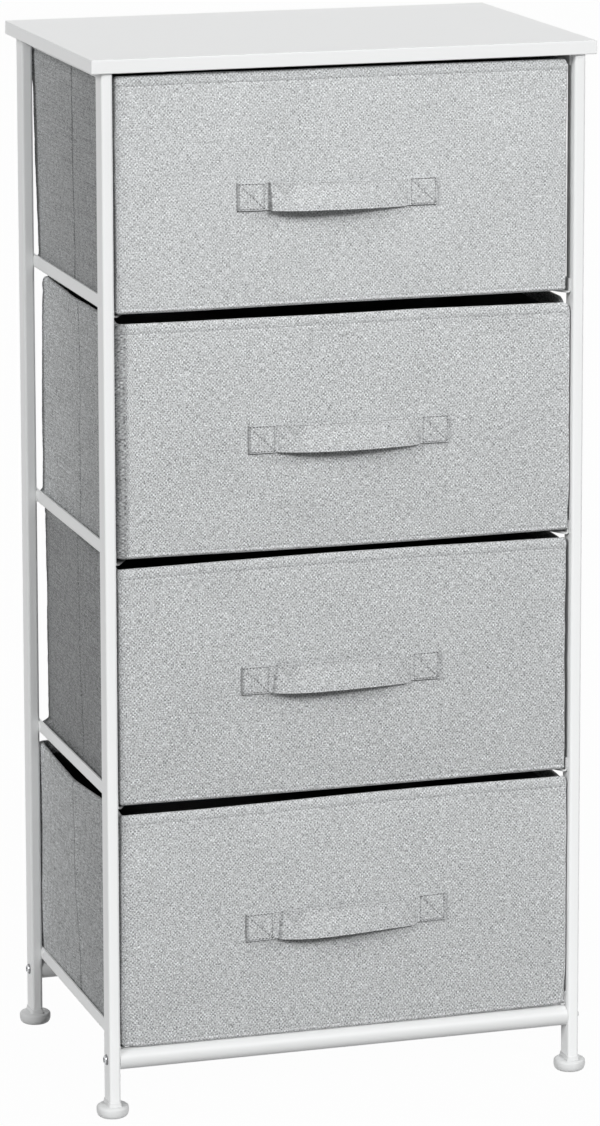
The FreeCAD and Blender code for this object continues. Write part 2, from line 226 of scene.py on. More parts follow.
class Nodes:
    """The node tree of a material or a world, emptied."""

    def __init__(self, owner):
        owner.use_nodes = True
        self.tree = owner.node_tree
        self.tree.nodes.clear()

    def add(self, kind, inputs=None, **settings):
        node = self.tree.nodes.new("ShaderNode" + kind)
        for key, value in settings.items():
            setattr(node, key, value)
        for key, value in (inputs or {}).items():
            if isinstance(value, Signal):
                self.tree.links.new(value.socket, node.inputs[key])
            else:
                node.inputs[key].default_value = value
        return node

    def out(self, kind, inputs=None, socket=0, **settings):
        """A new node's output."""
        return Signal(self, self.add(kind, inputs, **settings).outputs[socket])

    def math(self, operation, *values):
        return self.out("Math", dict(enumerate(values)), operation=operation)

    def ramp(self, value, start, end):
        """0 before start and 1 after end."""
        return self.out("MapRange", {"Value": value, "From Min": start, "From Max": end}, clamp=True)

    def place(self):
        return self.out("TexCoord", socket="Object")

    def split(self, vector):
        return [Signal(self, output) for output in self.add("SeparateXYZ", {0: vector}).outputs]

    def layer(self, name):
        return self.split(self.out("UVMap", uv_map=name))[:2]

    def noise(self, vector, size, detail=1.0, dimensions="3D"):
        """Noise less its mean, so that it lies about zero, in patches of about size."""
        return self.out("TexNoise", {"Vector": vector, "Scale": 1 / size, "Detail": detail},
                        noise_dimensions=dimensions) - 0.5

    def patches(self, u, v, size, detail=1.0):
        """Noise over a cloth."""
        return self.noise(self.out("CombineXYZ", {0: u, 1: v}), size, detail, "2D")

    def streaks(self, u, v, length_u, length_v, detail=1.0):
        """Noise over a cloth, drawn out along one of its yarns."""
        return self.patches(u * (1 / length_u), v * (1 / length_v), 1.0, detail)


class Finish(Nodes):
    """A material that ends in one Principled shader."""

    def __init__(self, name, roughness, metallic=0.0, sheen=0.0, specular=0.5):
        self.material = bpy.data.materials.new(name)
        super().__init__(self.material)
        self.shader = self.add("BsdfPrincipled", {"Roughness": roughness, "Metallic": metallic,
                                                  "Sheen Weight": sheen, "Specular IOR Level": specular})
        self.add("OutputMaterial", {"Surface": Signal(self, self.shader.outputs[0])})

    def lead(self, signal, socket):
        self.tree.links.new(signal.socket, self.shader.inputs[socket])

    def colour(self, base, tone):
        """base as linear red, green and blue, scaled by tone."""
        self.lead(self.out("VectorMath", {0: base, "Scale": tone}, operation="SCALE"), "Base Color")

    def bump(self, height, strength, distance):
        self.lead(self.out("Bump", {"Height": height, "Strength": strength, "Distance": distance}), "Normal")


def linear(red, green, blue):
    def one(level):
        c = level / 255
        return c / 12.92 if c <= 0.04045 else ((c + 0.055) / 1.055) ** 2.4
    return one(red), one(green), one(blue)


CELL_ACROSS = 1.57 * MM
CELL_UP = 1.69 * MM
YARN = 0.85 * MM
BASKET_DEPTH = 0.27
YARN_DEPTH = 1.7
SPECKLE_DEPTH = 1.0
SIDE_GRAIN = 1.2
DARKEST = 0.3


def dashes(across, along, pitch, half_length, half_width):
    """1 on short dashes along a line and 0 away from it."""
    a = ((along / pitch).op("FRACT") - 0.5) * pitch / half_length
    b = across / half_width
    return clip(1.6 - (a * a + b * b) * 1.2)


def band(value, middle, half_width):
    """1 in the middle of a band and 0 outside it, with soft edges."""
    away = (value - middle) / half_width
    return clip(1.0 - away * away)


def linen(name, contrast):
    """A heathered basket weave: its finish, its place on the cloth, its sway and its tone.

    contrast is how strongly the yarns differ."""
    m = Finish(name, 0.93, sheen=0.15)
    u, v = m.layer("weave")
    sway = m.patches(u + 3.1, v, 10 * MM)
    su = u + m.patches(u, v, 8 * MM) * (1.3 * MM)
    sv = v + sway * (1.3 * MM)
    basket = (su * (math.pi / CELL_ACROSS)).op("SINE") * (sv * (math.pi / CELL_UP)).op("SINE")
    patchy = m.patches(u, v + 7.7, 6 * MM) * 3.0 + 0.9
    over = clip(basket * 1.1 + 0.5)
    yarns = over * m.streaks(su, sv, YARN, 4.5 * MM) + (1.0 - over) * m.streaks(su, sv, 5.5 * MM, YARN)
    speckle = m.patches(u, v, 1.2 * MM)
    cloud = m.patches(u, v, 60 * MM, 2.0)
    slub = m.streaks(u, v, 30 * MM, 0.9 * MM, 0.0)
    thick = clip((slub - 0.27) * 1.6)
    thin = clip((slub * -1.0 - 0.29) * 1.4)
    tone = (1.0 + basket * patchy * (BASKET_DEPTH * contrast) + yarns * (YARN_DEPTH * contrast)
            + speckle * (SPECKLE_DEPTH * contrast) + cloud * 0.10 + thick - thin)
    m.bump(basket * 0.35 + yarns * 1.1 + speckle * 0.5, 0.5, 0.35 * MM)
    return m, u, v, sway, tone


# The cloth's colour, darkened by the bin's painted shade: more for the lower bins.
def shaded_cloth_colour(sits):
    return [share * sits["tone"][0] for share in linear(202, 204, 205)]


def cover_linen(number, sits):
    """The cloth of a bin's cover. On its side walls the yarns show as long grain.

    turned is painted shade where the cloth turns round the front's left end, and strap_shadow is a
    painted shadow under the strap."""
    m, u, v, sway, tone = linen("grey_linen_%d" % number, sits["contrast"])
    seam, below = m.layer("seam")
    nearest = (u / BIN_STEP).op("ROUND") * BIN_STEP
    round_ = abs(u - nearest)
    on_side = (m.ramp(round_, FRONT_TURN - 0.8 * MM, FRONT_TURN + 2.2 * MM)
               * (1.0 - m.ramp(round_, REAR_TURN - 2 * MM, REAR_TURN + 2 * MM)))
    in_front = 1.0 - on_side * 0.75
    ragged = clip(m.patches(u, v + 1.3, 9 * MM) * 2.4 + 0.55)
    grain = (m.streaks(u, v, 5 * MM, 1.3 * MM) + m.streaks(u, v, 70 * MM, 1.4 * MM) * 0.5
             + m.streaks(u, v, 7 * MM, 14 * MM, 2.0) * 0.4)
    tone = (tone + grain * on_side * (SIDE_GRAIN * sits["contrast"])).op("MAXIMUM", DARKEST)

    fold_shade, fold_lean = sits["fold"]
    hem = dashes(below - HEM_LINE * MM, u, HEM_PITCH * MM, 1.2 * MM, 0.5 * MM)
    sewn_down = dashes(seam, v, SEAM_PITCH * MM, 1.4 * MM, 0.6 * MM)
    foot = band(v, FOOT_SEAM * MM, 0.75 * MM)
    # lip darkens the foot's edge where the cloth turns under, as painted shade; below 0 it lightens it.
    lip = band(v, FOOT_LIP * MM, 1.3 * MM)
    # Painted shade along the crease of the side walls' fold.
    fold = band(round_ - v * fold_lean + sway * (1.5 * MM), SIDE_FOLD, 2.0 * MM)
    # Painted shade on the front's left end, where the cloth turns away from the light.
    turned_width, turned_shade = sits["turned"]
    turned_from = HALF_X - turned_width
    turned = (m.ramp(nearest - u, turned_from * MM, (turned_from + 3.5) * MM) * (1.0 - on_side)
              * (m.patches(u, v, 2.5 * MM) * 1.4 + 1.0))
    # A painted shadow on the cloth under the strap.
    strap_shadow = (band(u - nearest, (sits["strap"][0] - 18) * MM, 66 * MM)
               * band(v, (STRAP_LOW + sits["strap"][1]) * MM, 9 * MM))
    # Stitch marks and painted shade.
    stitches_and_painted_shade = (hem * in_front * 0.42 + sewn_down * ragged * 0.36 + foot * ragged * 0.38
            + lip * in_front * sits["lip"] + fold * fold_shade + turned * turned_shade
            + strap_shadow * in_front * 0.30)
    # Painted shade on the side walls, lighter towards the rear.
    side_shade_level, side_shade_gain = sits["side"]
    side_shade = (1.0 + (round_ - SIDE_FOLD) * side_shade_gain) * side_shade_level
    # Painted shade: the cloth darkens towards its foot.
    lower = 1.0 + (v - FRONT_HEIGHT / 2 * MM) * sits["tone"][1]
    m.colour(shaded_cloth_colour(sits), tone * (1.0 - stitches_and_painted_shade) * (1.0 + on_side * (side_shade - 1.0)) * lower)
    return m.material


def strap_linen(number, sits):
    """The cloth of a bin's strap, darker at its stitches. Its crease, its left end, the cloth just beyond
    the crease and the roll of its lower edge are darkened as painted shade, and a band along its lower
    edge is lightened as a painted highlight.
    """
    m, u, v, sway, tone = linen("grey_strap_linen_%d" % number, sits["contrast"])
    root, lean, crease_shade = sits["bend"]
    crease_at = STRAP_MIDDLE + (root - sits["strap"][2] / 2 + 1.0) * MM
    pitch = PATCH_PITCH * MM
    along, up = m.layer("seam")
    farthest = abs(along).op("MAXIMUM", abs(up))
    inside = farthest.op("LESS_THAN", PATCH_STITCH * MM)
    rightward = along * (u - STRAP_MIDDLE).op("SIGN")
    free = m.ramp(abs(along), 12.0 * MM, 15.0 * MM)
    # Painted shade on the roll of the lower edge and at the strap's left end.
    rolled_edge_shade = up.op("LESS_THAN", -20 * MM)
    left_end_shade = band(along, 12.1 * MM, 0.9 * MM) * u.op("LESS_THAN", STRAP_MIDDLE)
    outline = dashes(farthest - PATCH_STITCH * MM, along + up, pitch, 1.2 * MM, 0.55 * MM)
    falling = dashes((rightward + up) * 0.7, along, pitch, 1.2 * MM, 0.55 * MM) * inside
    rising = dashes((rightward - up) * 0.7, along, pitch, 1.0 * MM, 0.5 * MM) * inside
    top_edge = dashes(up - EDGE_STITCH * MM, u, pitch, 1.1 * MM, 0.45 * MM)
    # A painted highlight along the lower edge.
    low_edge_highlight = band(up, -11.7 * MM, 1.1 * MM) * free
    # Painted shade in the crease, and on the cloth just beyond it where the strap springs out.
    bend = band(u - up * (lean / STRAP_HEIGHT), crease_at, 1.7 * MM)
    spring_shade = (band(u, crease_at + 11 * MM, 15 * MM) * free
              * (m.patches(u + 5.3, v, 7 * MM) + 0.35))
    # Stitch marks, painted shade and a painted highlight; the free loop is also a little darker.
    stitches_and_painted_shade = (rolled_edge_shade * 0.6 + left_end_shade * 0.45 + free * 0.045 + outline * 0.74 + falling * 0.70 + rising * 0.28
            + top_edge * 0.26 + bend * crease_shade - low_edge_highlight * 0.22 + spring_shade * 0.30)
    m.colour(shaded_cloth_colour(sits), tone.op("MAXIMUM", DARKEST) * (1.0 - stitches_and_painted_shade))
    return m.material


def thread(name, base):
    m = Finish(name, 0.7, sheen=0.2)
    twist = m.noise(m.place(), 0.5 * MM)
    m.colour(base, 1.0 + twist * 0.4)
    m.bump(twist, 0.4, 0.1 * MM)
    return m.material


def nonwoven(name, base):
    m = Finish(name, 0.95, sheen=0.1)
    u, v = m.layer("weave")
    fibres = m.noise(m.place(), 0.8 * MM, 3.0)
    dots = (u * (math.pi / (1.6 * MM))).op("SINE") * (v * (math.pi / (1.6 * MM))).op("SINE")
    pressed = clip(abs(dots) - 0.55)
    m.colour(base, 1.0 + fibres * 0.9 - pressed * 0.6)
    m.bump(fibres * 0.4 - pressed, 0.6, 0.25 * MM)
    return m.material


def fibreboard(name, base):
    m = Finish(name, 0.88)
    chips = m.noise(m.place(), 2.5 * MM, 4.0)
    mottle = m.noise(m.place(), 30 * MM, 2.0)
    m.colour(base, 1.0 + chips * 0.5 + mottle * 0.3)
    m.bump(chips, 0.3, 0.2 * MM)
    return m.material


def coated(name, base, roughness, peel, rub_and_shade=0.0):
    """Sprayed or moulded white: a fine orange peel, faint mottling and slightly uneven gloss.

    rub_and_shade is how dark a rail's shelf is made inside its web: rub marks from the bins and
    painted shade."""
    m = Finish(name, roughness, specular=0.22)
    place = m.place()
    fine = m.noise(place, 1.1 * MM, 2.0)
    broad = m.noise(place, 45 * MM, 2.0)
    tone = 1.0 + broad * 0.03 + fine * 0.02
    if rub_and_shade:
        web_x = node_box("drawer_rail_right_1")[1][0]
        shelf = 1.0 - m.ramp(abs(m.split(place)[0]), (web_x - 1.9) * MM, (web_x - 1.5) * MM)
        tone = tone - shelf * (m.noise(place, 5 * MM, 3.0) * 0.6 + 1.0) * rub_and_shade
    m.colour(base, tone)
    m.lead(roughness + broad * 0.12 + fine * 0.08, "Roughness")
    m.bump(fine + broad * 3.0, peel, 0.08 * MM)
    return m.material


def laminate(name, base):
    """White melamine: a closed pressed grain along X, a top face darkened as painted shade against its
    edge band, and their joint.
    """
    m = Finish(name, 0.34)
    place = m.place()
    x, y, z = m.split(place)
    grain = m.noise(m.out("CombineXYZ", {0: x * 0.12, 1: y, 2: z}), 1.6 * MM, 3.0)
    broad = m.noise(place, 90 * MM, 2.0)
    top_z = node_box("top_board")[1][2]
    joint = band(z, (top_z - 0.95) * MM, 0.22 * MM)
    # The top face is darker than the edge band as painted shade.
    face = m.ramp(z, (top_z - 0.6) * MM, (top_z - 0.2) * MM)
    m.colour(base, 1.0 + broad * 0.02 + grain * 0.015 - joint * 0.06 - face * 0.095)
    m.lead(0.34 + grain * 0.15 + broad * 0.05, "Roughness")
    m.bump(grain, 0.25, 0.05 * MM)
    return m.material


def zinc(name, base):
    """Bright zinc with stains, darkened as painted shade in the sockets and round the rims of the
    crossbar screws.
    """
    m = Finish(name, 0.26, metallic=1.0)
    place = m.place()
    brushed = m.noise(place, 0.7 * MM, 3.0)
    stain = m.noise(place, 4 * MM, 2.0)
    low, high = node_box("crossbar_screws")
    radius = (high[2] - low[2]) / 2
    x, y, z = m.split(place)
    off_y = abs(y) - (high[1] - radius) * MM
    off_z = z - (low[2] + high[2]) / 2 * MM
    out = (off_y * off_y + off_z * off_z).op("SQRT")
    # The rims and the sockets are darkened as painted shade.
    rim_shade = m.ramp(out, (radius - 1.3) * MM, (radius - 0.3) * MM)
    socket = 1.0 - m.ramp(out, 2.1 * MM, 2.6 * MM)
    m.colour(base, 1.0 + stain * 0.25 - rim_shade * 0.72 - socket * 0.8)
    m.lead(0.26 + brushed * 0.15 + stain * 0.12, "Roughness")
    m.bump(brushed, 0.1, 0.05 * MM)
    return m.material


# ---- How each bin is sewn, and how it sits -------------------------------------------------
cover_low, cover_high = node_box("drawer_1_cover")
HALF_X, HALF_Y = cover_high[0], cover_high[1]
FRONT_HEIGHT = cover_high[2] - cover_low[2]
SIDE_HEIGHT = FRONT_HEIGHT - 3.0
WALL = 4.6
CORNER_BLOCK = 16.0
BOTTOM_TURN = 3.2
HEM_LINE = 8.7
HEM_DEPTH = 12.0
HEM_PITCH = 3.6
SEAM_IN = 3.6
SEAM_PITCH = 4.9
RAIL_TOP = 10.0
PATCH = 25.0
PATCH_STITCH = 10.8
PATCH_PITCH = 2.9
EDGE_STITCH = 10.9
FOOT_SEAM = 5.4
FOOT_LIP = 2.6
PART_LOW = 14.0
PART_TOP = 18.0
BIN_STEP = 2.0
STRAP_MIDDLE = 0.26
STRAP_HEIGHT = 24.5
STRAP_LOW = (FRONT_HEIGHT - STRAP_HEIGHT) / 2 - 4.0
PLY = 1.0
ROOM_LOW = 1.5
ROOM_GAIN = 1.3

# front: height of the front wall above the underside at FRONT_PLACES, foot: how far its lower edge
# is bent up there, or hangs down where below 0, and lip: painted shade on that edge where it turns
# under, light where below 0.
# round: how worn its two top corners are. left, right: height of the side walls at the front and at
# the rear. kink: a dip in the left wall's hem as (place along Y, depth, reach), and worn: the radius
# of its rear top corner. shift: how far the left and right walls stand to the right of their sewn
# place, and top_room: how far they may lean out near the top. crease, rear_in: how far the left wall
# leans in at its fold and at its rear corner, at the top and at the bottom. turn_left, turn_right:
# radius of the front corners at the top and bottom. bow: how far the front wall bellies out.
# strap: X of the handle's middle, its rise, its length and how far its right end is above its left.
# loop: how far it stands off at its lower and upper edge, and its sag. spring: the share of that
# which it gains at its crease, how soon it gains the rest and how fast it falls. jog: how far it
# hangs down before its right patch. bend: how far the crease is from the left end, its lean and the
# painted shade in it. tone: painted shade on the bin's cloth, darker for the lower bins, and how
# much darker it gets towards its foot, per metre. side: painted shade on its side walls against
# that, and how much lighter they get towards the rear, per metre. fold: painted shade along their
# fold's line, and its lean. turned: width and painted shade of the front's left end, where the
# cloth turns round it. contrast: how strongly its yarns differ.
BINS = {
    1: dict(front=(203.9, 203.8, 203.8, 203.7, 203.6, 203.4, 203.3),
            foot=(0.9, 0.2, 0.6, 0.7, 0.6, 0.5, 0.5), lip=-0.34, round=(1.0, 5.5),
            left=(203.0, 203.0), right=(202.0, 202.0), kink=(24, 0.0, 30), worn=1.5,
            shift=(-0.9, -0.5), top_room=1.0, crease=(-0.9, 1.3), rear_in=(-1.0, 5.0),
            turn_left=(3.2, 3.0), turn_right=(5.5, 5.5), bow=0.5,
            strap=(-6.4, -2.4, 178.8, -2.2), loop=(12.6, 3.4, 0.3), spring=(0.22, 0.24, 0.85),
            jog=0.8, bend=(27.0, 0.0, 0.55), tone=(0.974, 0.28), side=(0.576, 1.48),
            fold=(0.72, 0.0), turned=(4.0, 0.10), contrast=1.0),
    2: dict(front=(206.8, 206.2, 206.0, 206.0, 205.9, 204.8, 204.3),
            foot=(3.0, 2.6, 1.8, 1.5, 1.5, 2.1, 2.4), lip=-0.04, round=(5.0, 7.0),
            left=(208.0, 204.0), right=(207.0, 206.0), kink=(30, 2.6, 120), worn=8.0,
            shift=(-1.0, 3.2), top_room=2.8, crease=(3.9, 4.3), rear_in=(7.4, 6.1),
            turn_left=(8.0, 7.0), turn_right=(2.6, 2.4), bow=0.7,
            strap=(1.8, 1.6, 179.3, -0.5), loop=(11.6, 3.0, -0.2), spring=(0.05, 0.36, 0.6),
            jog=0.6, bend=(26.5, 0.0, 0.08), tone=(0.894, 0.50), side=(0.782, 1.90),
            fold=(0.45, 0.0), turned=(9.0, 0.30), contrast=1.15),
    3: dict(front=(209.0, 209.5, 210.5, 211.3, 210.8, 210.2, 210.2),
            foot=(1.0, 0.5, 0.1, 0.0, 0.1, 0.6, 0.6), lip=0.10, round=(1.0, 3.0),
            left=(208.0, 209.0), right=(208.0, 206.0), kink=(0, 0.8, 30), worn=4.0,
            shift=(-1.0, 0.9), top_room=2.8, crease=(1.0, 5.4), rear_in=(8.7, 9.5),
            turn_left=(3.2, 3.0), turn_right=(4.0, 4.0), bow=0.6,
            strap=(-4.6, 3.2, 178.3, 0.9), loop=(13.4, 3.6, -0.1), spring=(0.14, 0.24, 0.85),
            jog=2.2, bend=(28.5, 3.0, 0.22), tone=(0.836, 0.46), side=(0.482, 0.2),
            fold=(0.30, 0.0), turned=(4.0, 0.12), contrast=1.15),
    4: dict(front=(206.2, 206.0, 207.1, 208.2, 209.4, 209.2, 208.9),
            foot=(-1.6, -2.3, -2.4, -2.4, -2.4, -1.4, -1.4), lip=0.22, round=(1.0, 3.5),
            left=(207.5, 202.5), right=(206.0, 204.0), kink=(22, 7.2, 110), worn=4.5,
            shift=(-1.0, 3.2), top_room=2.8, crease=(-4.5, 1.1), rear_in=(-1.6, -0.6),
            turn_left=(3.0, 3.0), turn_right=(2.2, 2.2), bow=0.6,
            strap=(-0.5, -0.9, 180.3, 3.1), loop=(13.4, 3.6, -0.1), spring=(0.14, 0.24, 0.85),
            jog=2.6, bend=(29.5, 2.5, 0.26), tone=(0.821, 0.57), side=(0.816, 1.72),
            fold=(0.45, 0.06), turned=(4.0, 0.0), contrast=1.12),
}
FRONT_PLACES = (0, 0.16, 0.32, 0.5, 0.67, 0.85, 1)


def eased(values):
    """A smooth curve across a front wall, given at FRONT_PLACES: its places and its values."""
    places = np.linspace(-0.2, 1.2, 281)
    line = np.pad(np.interp(places, FRONT_PLACES, values), 18, mode="edge")
    weights = ridge(np.linspace(-1, 1, 37), 0.5)
    return places, np.convolve(line, weights / weights.sum(), mode="valid")


for number, sits in BINS.items():
    sits["floor"] = node_box("drawer_%d_cover" % number)[0][2]
    sits["sway"] = [ripple(100 * number + k, (70, 190), 6) for k in range(3)]
    sits["quilt"] = ripple(100 * number + 7, (16, 44), 14)
    sits["top_line"], sits["foot_line"] = eased(sits["front"]), eased(sits["foot"])


def worn_corner(place, end, radius):
    """Fall of a wall's top edge towards a rounded corner at its end."""
    d = np.clip((place - end) / radius + 1, 0, 1)
    return radius * (1 - np.sqrt(1 - d * d))


def warp(number, points):
    """Takes points of a sewn bin, with its underside at Z = 0, to how the bin sits in the tower."""
    bin_ = BINS[number]
    x, y, z = points[..., 0], points[..., 1], points[..., 2]
    up = np.clip(z / FRONT_HEIGHT, 0, 1.1)
    across = np.clip((x + HALF_X) / (2 * HALF_X), 0, 1)
    back = np.clip((y + HALF_Y) / (2 * HALF_Y), 0, 1)
    at_front = smooth(-y, HALF_Y - 24, HALF_Y - 5)
    at_left = smooth(-x, HALF_X - 110, HALF_X - 8)

    rise_front = (np.interp(across, *bin_["top_line"]) - FRONT_HEIGHT
                  - worn_corner(-x, HALF_X, bin_["round"][0]) - worn_corner(x, HALF_X, bin_["round"][1]))
    rise_left = between(bin_["left"][0], bin_["left"][1], back) - SIDE_HEIGHT
    rise_right = between(bin_["right"][0], bin_["right"][1], back) - SIDE_HEIGHT
    dip_y, dip, reach = bin_["kink"]
    rise_side = (between(rise_left, rise_right, across)
                 - dip * at_left * np.clip(1 - abs(y - dip_y) / reach, 0, 1)
                 - np.minimum(worn_corner(-x, HALF_X, bin_["worn"]), worn_corner(y, HALF_Y, bin_["worn"])))
    rise = between(rise_side, rise_front, at_front)

    fold = 1 - abs(y) / HALF_Y
    over_rail = smooth(z, 3, RAIL_TOP)
    lean = over_rail * (between(bin_["crease"][1], bin_["crease"][0], up) * fold
                        + between(bin_["rear_in"][1], bin_["rear_in"][0], up) * np.clip(y / HALF_Y, 0, 1))
    shift = between(bin_["shift"][0], bin_["shift"][1], across)
    belly = np.sin(math.pi * np.clip(z / FRONT_HEIGHT, 0, 1)) * (1 - np.clip(x / HALF_X, -1, 1) ** 2)
    free = smooth(z, 2, 40)
    sway = [wave(points) * 0.32 * free for wave in bin_["sway"]]

    room = ROOM_LOW + smooth(z, 11, 34) * ROOM_GAIN
    room = between(room, bin_["top_room"], smooth(z, 184, 194))
    moved_x = x + np.clip(shift + lean * at_left + sway[0], -room, room + 20 * at_left)
    moved_y = y + belly * (bin_["bow"] * -at_front + 1.2 * smooth(y, HALF_Y - 30, HALF_Y - 5)) + sway[1]
    foot = np.interp(across, *bin_["foot_line"])
    bent_up = np.maximum(foot, 0) * smooth(-y, HALF_Y - 26, HALF_Y - 8) * (1 - smooth(z, 0, 34))
    hung = (np.minimum(foot, 0) * smooth(-y, HALF_Y - 4.2, HALF_Y - 1.8) * (1 - smooth(z, 1, 30))
            * smooth(-abs(x), -HALF_X + 1, -HALF_X + 16))
    moved_z = z + rise * up + sway[2] * 0.5 + bin_["floor"] + bent_up + hung
    return np.stack([moved_x, moved_y, moved_z], -1)


# ---- Rings round a bin -----------------------------------------------------------------------
CORNERS = [(-1, 1), (-1, -1), (1, -1), (1, 1)]  # rear left, front left, front right, rear right
ARC_STEPS = 9
LEAD = 1 - (1 - np.linspace(0, 1, 7)[1:-1]) ** 1.6


def wall_places():
    """Places along the straight runs, from the middle of the back, past the left side, to the back again."""
    x_end, y_end = HALF_X - CORNER_BLOCK, HALF_Y - CORNER_BLOCK
    half_back = np.linspace(0, x_end, 38)
    side = np.concatenate([np.linspace(-y_end, -6, 36), [-4, -2.6, -1.6, -0.8, 0, 0.8, 1.6, 2.6, 4],
                           np.linspace(6, y_end, 36)])
    front = np.linspace(-x_end, x_end, 131)
    return half_back, side, front


def ring(inset, radii):
    """Points and outward directions of one loop round the bin, drawn in by inset."""
    half_back, side, front = wall_places()
    made = []

    def straight(values, fixed, along_x, direction):
        for value in values:
            made.append(((value, fixed) if along_x else (fixed, value)) + direction)

    def corner(index):
        sx, sy = CORNERS[index]
        radius = max(radii[index] - inset, 0.3)
        pull = inset + radius
        centre = (sx * (HALF_X - pull), sy * (HALF_Y - pull))
        leads = CORNER_BLOCK + (pull - CORNER_BLOCK) * LEAD
        start_on_x = index in (0, 2)  # the loop reaches this corner along X
        first = [(sx * (HALF_X - d), sy * (HALF_Y - inset), 0, sy) for d in leads]
        last = [(sx * (HALF_X - inset), sy * (HALF_Y - d), sx, 0) for d in leads[::-1]]
        if not start_on_x:
            first, last = last[::-1], first[::-1]
        made.extend(first)
        for step in range(ARC_STEPS):
            a = step / (ARC_STEPS - 1) * math.pi / 2
            nx, ny = (math.sin(a), math.cos(a)) if start_on_x else (math.cos(a), math.sin(a))
            made.append((centre[0] + radius * sx * nx, centre[1] + radius * sy * ny, sx * nx, sy * ny))
        made.extend(last)

    y_in, x_in = HALF_Y - inset, HALF_X - inset
    straight(-half_back, y_in, True, (0, 1))
    corner(0)
    straight(side[::-1], -x_in, False, (-1, 0))
    corner(1)
    straight(front, -y_in, True, (0, -1))
    corner(2)
    straight(side, x_in, False, (1, 0))
    corner(3)
    straight(half_back[:0:-1], y_in, True, (0, 1))
    made = np.array(made)
    return made[:, :2], made[:, 2:]


BASE_RING, BASE_NORMAL = ring(0, (4, 4, 4, 4))
steps = np.linalg.norm(np.diff(np.vstack([BASE_RING, BASE_RING[:1]]), axis=0), axis=1)
ALONG = np.concatenate([[0], np.cumsum(steps)])
ALONG -= ALONG[-1] / 2
COLUMNS = len(BASE_RING)
FRONT_SEAM = HALF_X - SEAM_IN
REAR_SEAM = abs(ALONG[np.argmin(abs(BASE_RING - np.array([HALF_X, HALF_Y - SEAM_IN])).sum(1))])
NEAREST_SEAM = np.where(abs(abs(ALONG) - FRONT_SEAM) < abs(abs(ALONG) - REAR_SEAM),
                        abs(ALONG) - FRONT_SEAM, abs(ALONG) - REAR_SEAM)
FRONT_TURN = (HALF_X - 0.9) * MM
REAR_TURN, SIDE_FOLD = (abs(ALONG[np.argmin(abs(BASE_RING - np.array([HALF_X, y])).sum(1))]) * MM
                        for y in (HALF_Y, 0))
HEIGHT = between(SIDE_HEIGHT, FRONT_HEIGHT, smooth(-BASE_RING[:, 1], HALF_Y - 14, HALF_Y - 3))


def radii_at(number, z):
    up = float(np.clip(z / FRONT_HEIGHT, 0, 1))
    left, right = BINS[number]["turn_left"], BINS[number]["turn_right"]
    return 2.4, between(left[1], left[0], up), between(right[1], right[0], up), 2.4


def loop_rows(number, rows):
    """Points and outward directions of a bin's rows.

    A row is (inset, kind, place, share of the way to the middle). Its place is a height for the
    kind up, a depth under the wall's top for down, and a share of the wall between for part."""
    made = []
    for inset, kind, place, inward in rows:
        if kind == "up":
            z = np.full(COLUMNS, float(place))
        elif kind == "down":
            z = HEIGHT - place
        else:
            z = between(PART_LOW, HEIGHT - PART_TOP, place)
        points, normals = ring(inset, radii_at(number, float(z.mean())))
        spine = np.stack([points[:, 0] * 0.35, np.zeros(COLUMNS)], 1)
        flat = between(points, spine, inward)
        made.append(np.concatenate([flat, z[:, None], normals * (1 - inward)], 1))
    return np.array(made)


def cover_rows():
    floor = [(8, "up", 0, f) for f in (1, 0.75, 0.5, 0.25, 0.08, 0)] + [(5, "up", 0, 0)]
    turn = [(BOTTOM_TURN * (1 - math.sin(a)), "up", BOTTOM_TURN * (1 - math.cos(a)), 0)
            for a in np.linspace(0, math.pi / 2, 8)]
    wall = [(0, "up", z, 0) for z in (3.7, 4.2, 4.7, 5.3, 6.2, 7.4, 9.0, 11.2)]
    wall += [(0, "part", f, 0) for f in np.linspace(0, 1, 60)]
    wall += [(0, "down", d, 0)
             for d in (15.5, 13.2, 11.6, 10.5, 9.8, 9.3, 9.0, 8.7, 8.2, 7.5, 6.4, 5.2, 4.0, 3.0)]
    roll = 2.4
    hem = [(roll * (1 - math.cos(a)), "down", roll * (1 - math.sin(a)), 0)
           for a in np.linspace(0.12, math.pi, 10)]
    hem += [(4.9, "down", d, 0) for d in (4, 6, 8, 8.6, 9.0, 9.4, 10.2, 11.2)]
    hem += [(4.9, "down", HEM_DEPTH, 0), (4.6, "down", HEM_DEPTH + 0.35, 0), (4.1, "down", HEM_DEPTH, 0)]
    inside = [(3.8, "down", 5, 0), (3.4, "down", 2.2, 0), (2.4, "down", 1.1, 0), (1.4, "down", 2.2, 0)]
    inside += [(1.0, "down", 6, 0)] + [(1.0, "part", f, 0) for f in np.linspace(1, 0, 24)]
    inside += [(1.0, "up", 8, 0), (1.3, "up", 3.4, 0), (3.6, "up", 1.0, 0), (8, "up", 1.0, 0)]
    inside += [(8, "up", 1.0, f) for f in (0.08, 0.25, 0.5, 0.75, 1)]
    return floor, turn, wall, hem, inside


def bin_maps(rows, points, number):
    """UV layers of a bin's rows: weave runs round and up the cloth, seam is the way to its seams."""
    profile = np.array([(inset, {"up": place, "down": FRONT_HEIGHT - place,
                                 "part": between(PART_LOW, FRONT_HEIGHT - PART_TOP, place)}[kind])
                        for inset, kind, place, inward in rows])
    run = np.concatenate([[0], np.cumsum(np.linalg.norm(np.diff(profile, axis=0), axis=1))])
    start = next(i for i, row in enumerate(rows) if row[3] == 0 and row[0] <= 5.01)
    run -= run[start]
    u = np.broadcast_to(ALONG, (len(rows), COLUMNS + 1)).copy()
    v = np.broadcast_to(run[:, None], u.shape).copy()
    wrapped = np.concatenate([points, points[:, :1]], 1)
    for index, row in enumerate(rows):
        if row[3] > 0:
            u[index], v[index] = wrapped[index, :, 0], wrapped[index, :, 1] - 400
    below = np.concatenate([HEIGHT, HEIGHT[:1]])[None] - wrapped[..., 2]
    seam = np.broadcast_to(NEAREST_SEAM, u.shape)
    return {"weave": np.stack([u + BIN_STEP / MM * number, v], -1), "seam": np.stack([seam, below], -1)}


